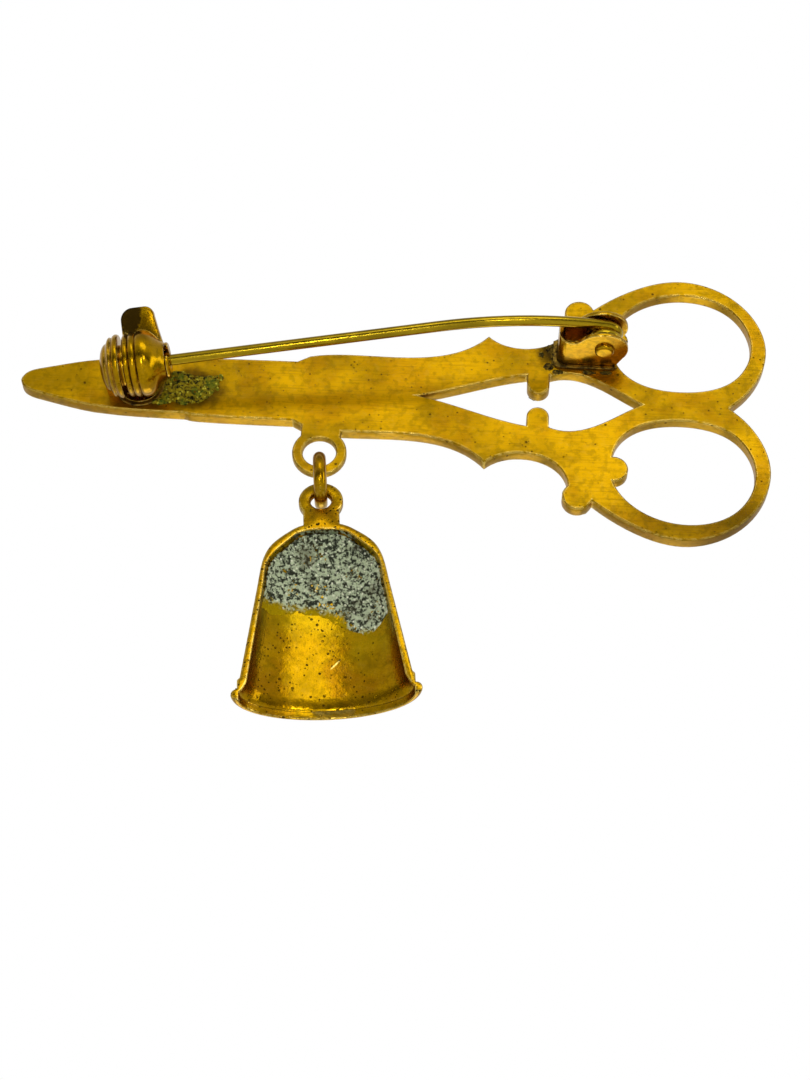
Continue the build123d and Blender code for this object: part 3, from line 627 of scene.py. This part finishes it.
# ---- floor, lights and camera ----
# A pale floor well below, a white surround with a darker lower half for the metal to reflect,
# and soft panels: a large one above, a small one and a strip by the camera, one at the right
# and one behind and below that lights the edges turned down.
FLOOR_SIZE = 1.6
FLOOR_HEIGHT = -0.17
SURROUND_ENDS = (0.30, 0.30, 0.30, 1)
SURROUND_BANDS = ((0.32, 0.14), (0.50, 0.07), (0.62, 0.42), (0.74, 0.66), (0.9, 0.5))
LENS_MM = 73.08
STAND = (0.013564, -0.146069, -0.106091)

bpy.ops.object.select_all(action="DESELECT")
bpy.ops.mesh.primitive_plane_add(size=FLOOR_SIZE, location=(0, 0, FLOOR_HEIGHT))
floor = bpy.context.object
floor.name = "floor"
paint = bpy.data.materials.new("floor_paint")
paint.use_nodes = True
paint.node_tree.nodes["Principled BSDF"].inputs["Base Color"].default_value = (0.82, 0.82, 0.82, 1)
paint.node_tree.nodes["Principled BSDF"].inputs["Roughness"].default_value = 0.7
floor.data.materials.append(paint)

right = Vector((0.99873, 0, 0.05033))
up = Vector((-0.04314, -0.51504, 0.85608))
ahead = Vector((-0.02592, 0.85717, 0.51439))
target = Vector((0.004, 0.004, -0.008))


def panel(name, towards, distance, wide, tall, radiance, tint=(1, 1, 1)):
    """A soft panel, unseen itself, that faces the middle of the brooch."""
    light = bpy.data.lights.new(name, "AREA")
    light.shape = "RECTANGLE"
    light.size = wide
    light.size_y = tall
    light.energy = radiance * math.pi * wide * tall
    light.color = tint
    holder = bpy.data.objects.new(name, light)
    bpy.context.scene.collection.objects.link(holder)
    holder.location = target + towards.normalized() * distance
    holder.rotation_euler = (-towards).to_track_quat("-Z", "Y").to_euler()
    holder.visible_camera = False


panel("panel_above", up * 0.85 - ahead * 0.45 + right * 0.15, 0.34, 0.22, 0.12, 1.7)
panel("panel_by_camera", -ahead * 0.9 + right * 0.3 + up * 0.3, 0.30, 0.035, 0.05, 12.0, (1, 0.98, 0.93))
panel("panel_strip", -ahead - right * 0.10 + up * 0.05, 0.30, 0.010, 0.12, 26.0)
panel("panel_right", right * 0.9 - ahead * 0.25 + up * 0.15, 0.32, 0.08, 0.16, 2.0)
panel("panel_below", Vector((0.05, 0.857, -0.514)), 0.24, 0.16, 0.10, 1.3)

world = bpy.data.worlds.new("surround")
bpy.context.scene.world = world
world.use_nodes = True
tree = world.node_tree
tree.nodes.clear()
out = tree.nodes.new("ShaderNodeOutputWorld")
seen = tree.nodes.new("ShaderNodeBackground")
seen.inputs["Color"].default_value = (1, 1, 1, 1)
lit = tree.nodes.new("ShaderNodeBackground")
both = tree.nodes.new("ShaderNodeMixShader")
rays = tree.nodes.new("ShaderNodeLightPath")
coord = tree.nodes.new("ShaderNodeTexCoord")
split = tree.nodes.new("ShaderNodeSeparateXYZ")
level = tree.nodes.new("ShaderNodeMapRange")
level.inputs["From Min"].default_value = -1
bands = tree.nodes.new("ShaderNodeValToRGB")
bands.color_ramp.elements[0].color = SURROUND_ENDS
bands.color_ramp.elements[1].color = SURROUND_ENDS
for place, value in SURROUND_BANDS:
    bands.color_ramp.elements.new(place).color = (value, value, value, 1)
behind = tree.nodes.new("ShaderNodeMapRange")
behind.inputs["From Min"].default_value = -0.2
behind.inputs["From Max"].default_value = 0.35
blend = tree.nodes.new("ShaderNodeMix")
blend.data_type = "RGBA"
blend.inputs[7].default_value = (0.72, 0.72, 0.72, 1)
tree.links.new(coord.outputs["Generated"], split.inputs[0])
tree.links.new(split.outputs["Z"], level.inputs["Value"])
tree.links.new(level.outputs[0], bands.inputs[0])
tree.links.new(split.outputs["Y"], behind.inputs["Value"])
tree.links.new(behind.outputs[0], blend.inputs[0])
tree.links.new(bands.outputs[0], blend.inputs[6])
tree.links.new(blend.outputs[2], lit.inputs["Color"])
tree.links.new(rays.outputs["Is Camera Ray"], both.inputs[0])
tree.links.new(lit.outputs[0], both.inputs[1])
tree.links.new(seen.outputs[0], both.inputs[2])
tree.links.new(both.outputs[0], out.inputs["Surface"])

lens = bpy.data.cameras.new("camera")
lens.lens = LENS_MM
lens.sensor_width = 36
lens.clip_start = 0.005
lens.clip_end = 10
camera = bpy.data.objects.new("camera", lens)
bpy.context.scene.collection.objects.link(camera)
camera.matrix_world = Matrix((
    (right.x, up.x, -ahead.x, STAND[0]),
    (right.y, up.y, -ahead.y, STAND[1]),
    (right.z, up.z, -ahead.z, STAND[2]),
    (0, 0, 0, 1),
))
bpy.context.scene.camera = camera
bpy.context.scene.view_settings.view_transform = "Standard"

bpy.context.view_layer.update()
